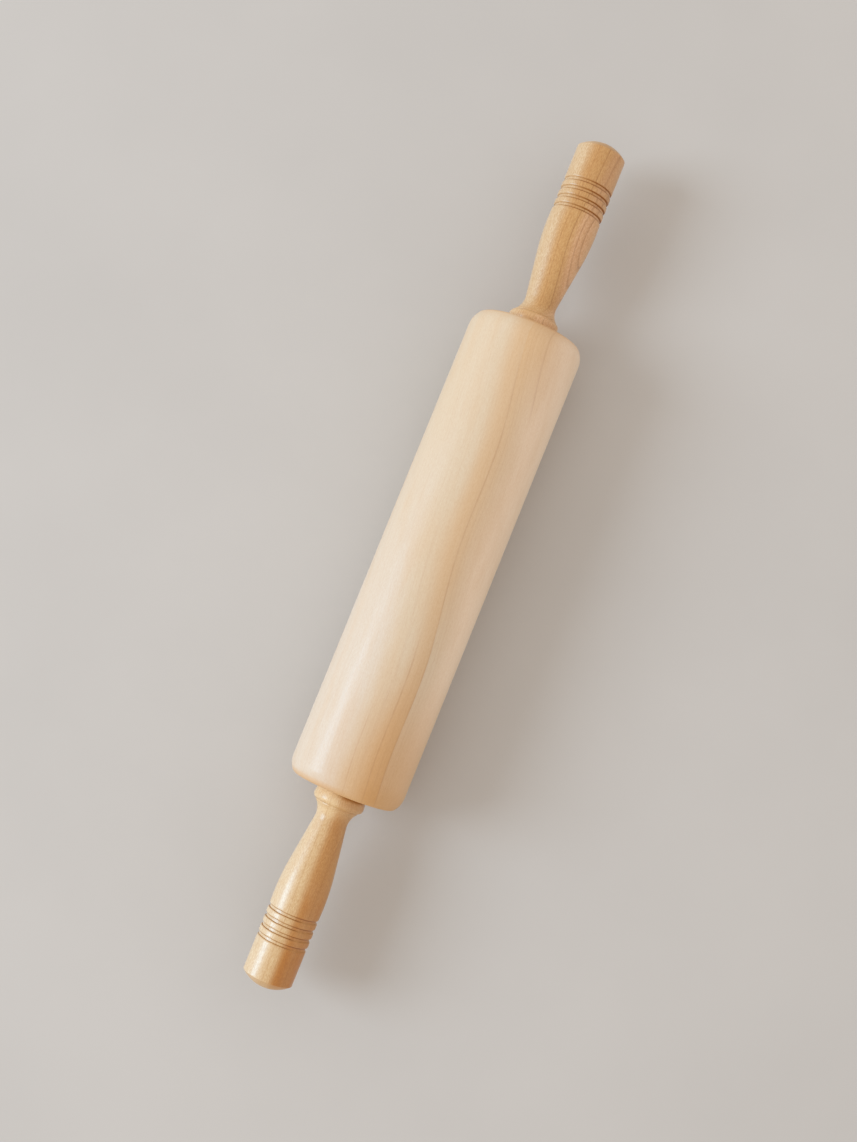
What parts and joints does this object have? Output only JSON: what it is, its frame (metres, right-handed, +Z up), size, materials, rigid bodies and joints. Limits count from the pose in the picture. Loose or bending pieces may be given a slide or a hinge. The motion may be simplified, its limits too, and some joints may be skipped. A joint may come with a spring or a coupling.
{
  "type": "rolling pin",
  "caption": "Maple roller type rolling pin: a barrel on ball bearings turns on a steel rod between turned, grooved handles.",
  "frame": {"origin": "on the table, under the middle of the barrel", "axes": "+X along the pin towards the right handle, +Z up from the table, +Y across the pin"},
  "size_m": [0.5578, 0.073, 0.073],
  "materials": {
    "pale_maple": "fine sanded, satin food-safe finish",
    "golden_maple": "clear lacquer, satin",
    "rod_steel": "drawn bright bar",
    "bearing_steel": "ground and polished",
    "sheet_steel": "pressed sheet",
    "nylon": "natural nylon"
  },
  "bodies": {
    "rod_and_handles": {"axle_rod": "rod_steel", "left_handle": "golden_maple", "right_handle": "golden_maple", "left_spacer_washer": "nylon", "right_spacer_washer": "nylon", "left_bearing_inner_ring": "bearing_steel", "right_bearing_inner_ring": "bearing_steel"},
    "barrel": {"barrel": "pale_maple", "left_bearing_outer_ring": "bearing_steel", "right_bearing_outer_ring": "bearing_steel", "left_outboard_shield": "sheet_steel", "right_outboard_shield": "sheet_steel", "left_inboard_shield": "sheet_steel", "right_inboard_shield": "sheet_steel"},
    "left_cage": {"left_bearing_balls": "bearing_steel", "left_cage_outboard_half": "sheet_steel", "left_cage_inboard_half": "sheet_steel", "left_cage_rivets": "sheet_steel"},
    "right_cage": {"right_bearing_balls": "bearing_steel", "right_cage_outboard_half": "sheet_steel", "right_cage_inboard_half": "sheet_steel", "right_cage_rivets": "sheet_steel"}
  },
  "joints": [
    {"name": "barrel_spin", "type": "hinge", "parent": "rod_and_handles", "child": "barrel", "pos_m": [0, 0, 0.0365], "axis": [1, 0, 0], "continuous": true},
    {"name": "left_cage_spin", "type": "hinge", "parent": "rod_and_handles", "child": "left_cage", "pos_m": [-0.14853, 0, 0.0365], "axis": [1, 0, 0], "continuous": true},
    {"name": "right_cage_spin", "type": "hinge", "parent": "rod_and_handles", "child": "right_cage", "pos_m": [0.14853, 0, 0.0365], "axis": [1, 0, 0], "continuous": true}
  ],
  "couplings": [
    {"joint": "left_cage_spin", "follows": "barrel_spin", "ratio": 0.625},
    {"joint": "right_cage_spin", "follows": "barrel_spin", "ratio": 0.625}
  ]
}
